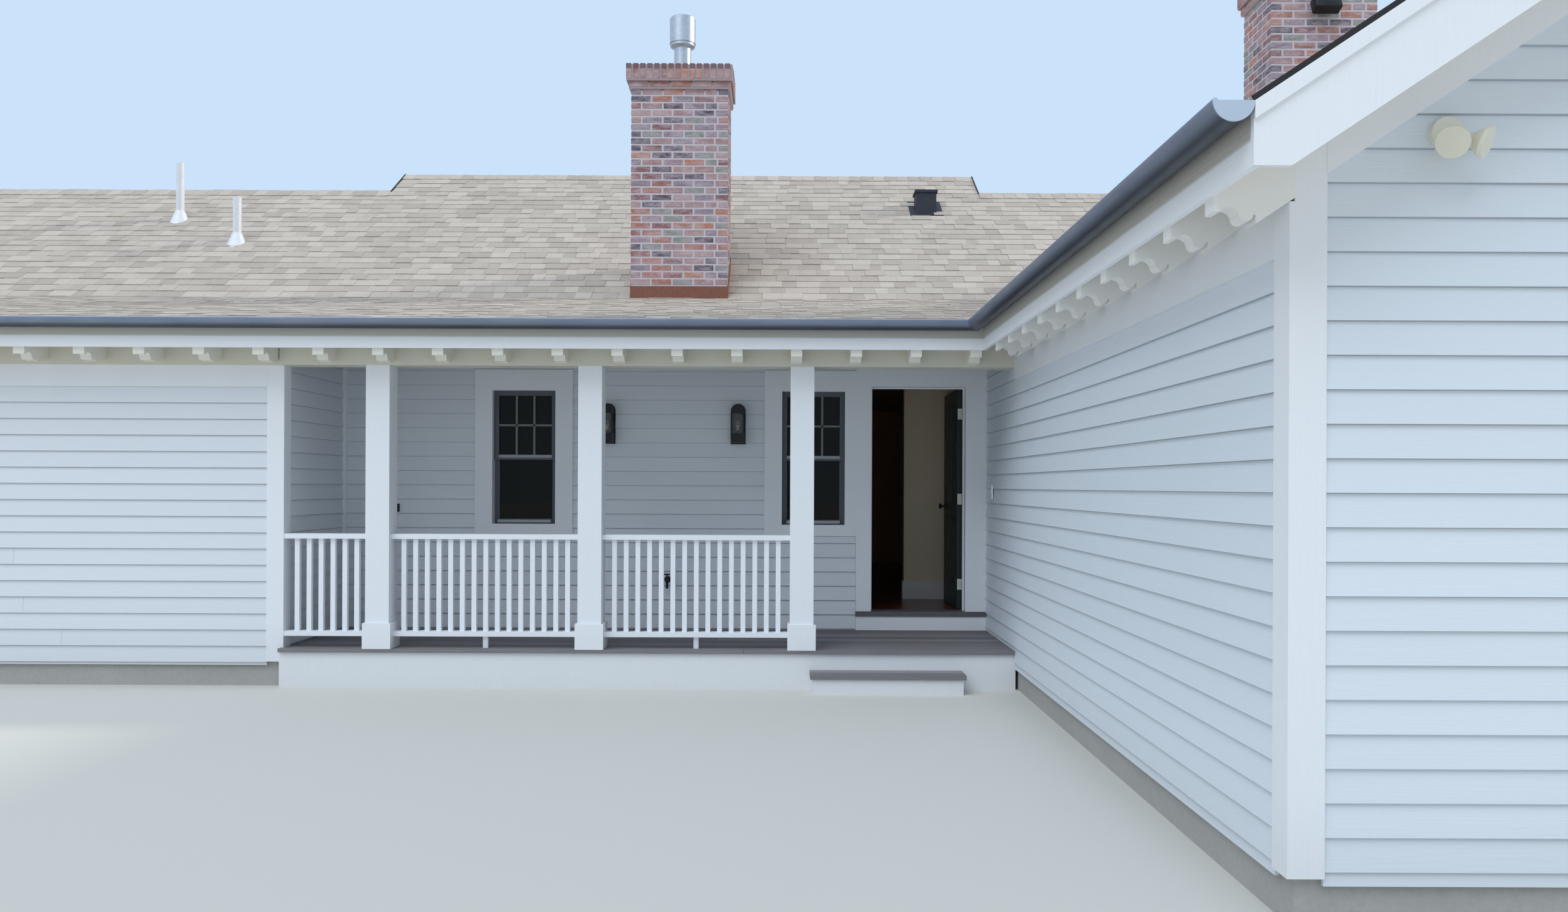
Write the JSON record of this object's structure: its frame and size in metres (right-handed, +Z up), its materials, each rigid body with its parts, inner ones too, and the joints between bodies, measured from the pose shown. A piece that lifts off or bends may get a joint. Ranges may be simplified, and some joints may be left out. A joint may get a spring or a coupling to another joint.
{
  "type": "bungalow",
  "caption": "Single-storey timber-framed bungalow with white clapboard walls, a recessed porch, a front-gabled wing, shingled roofs, brick chimneys and a hinged front door.",
  "frame": {"origin": "middle of the whole house's box, on the ground", "axes": "+X along the front to the right, +Y from the front to the back, +Z up"},
  "size_m": [18.499, 14.076, 6.815],
  "materials": {
    "siding": "painted clapboard, cool white, satin",
    "trim": "painted trim boards, white, satin",
    "eave_wood": "painted eave timber, warm white in the shade",
    "shingles": "asphalt shingles, tan grey with darker courses",
    "gutter_metal": "dark blue-grey half-round gutter",
    "concrete": "rough cast concrete",
    "floor_wood": "dark reddish floor boards",
    "deck_wood": "weathered brown-grey deck boards",
    "plaster": "warm beige painted plaster",
    "sash_paint": "grey painted sash",
    "glass": "clear window glass",
    "door_paint": "dark green-black painted door, satin",
    "door_metal": "satin nickel",
    "brick": "mixed red, pink and purple brick with pale mortar",
    "copper": "brown weathered copper",
    "galvanised": "galvanised flue pipe",
    "black_metal": "black powder coat",
    "lamp_white": "white light fitting"
  },
  "bodies": {
    "house": {"foundation_main": "concrete", "foundation_wing": "concrete", "floor_main": "floor_wood", "floor_wing": "floor_wood", "porch_deck": "deck_wood", "porch_skirt": "trim", "step_tread": "deck_wood", "step_riser": "trim", "wall_front_left": "siding", "wall_porch_return": "siding", "wall_porch_windows": "siding", "wall_door_head": "siding", "wall_door_right": "siding", "wall_left_gable": "siding", "wall_rear_left": "siding", "wall_bump_rear": "siding", "walls_bump_sides": "siding", "raised_cheeks": "siding", "wall_wing_left": "siding", "wall_wing_front": "siding", "wall_wing_right": "siding", "wall_wing_rear": "siding", "hall_partition": "plaster", "ceiling_main": "plaster", "ceiling_wing": "plaster", "porch_ceiling": "eave_wood", "roof_low_front": "shingles", "roof_main_front": "shingles", "roof_main_rear": "shingles", "roof_raised": "shingles", "roof_wing_left": "shingles", "roof_wing_right": "shingles", "fascias": "trim", "rake_boards": "trim", "rafter_tails_main": "eave_wood", "rafter_tails_wing": "eave_wood", "gutters": "gutter_metal", "porch_beam": "eave_wood", "porch_posts": "trim", "porch_railings": "trim", "corner_boards": "trim", "window_surrounds": "trim", "window_sashes": "sash_paint", "window_glass": "glass", "door_surround": "trim", "door_sill": "trim", "chimneys": "brick", "chimney_flashing": "copper", "flue_pipes": "galvanised", "vent_pipes": "galvanised", "roof_vent": "black_metal", "wall_lamps": "black_metal", "security_lights": "lamp_white"},
    "front_door": {"door_leaf": "door_paint", "door_hinges": "door_metal", "door_knob": "door_metal"}
  },
  "joints": [
    {"name": "front_door_hinge", "type": "hinge", "parent": "house", "child": "front_door", "pos_m": [2.7155, -0.174, 1.5135], "axis": [0, 0, 1], "range_deg": [-20, 90]}
  ]
}
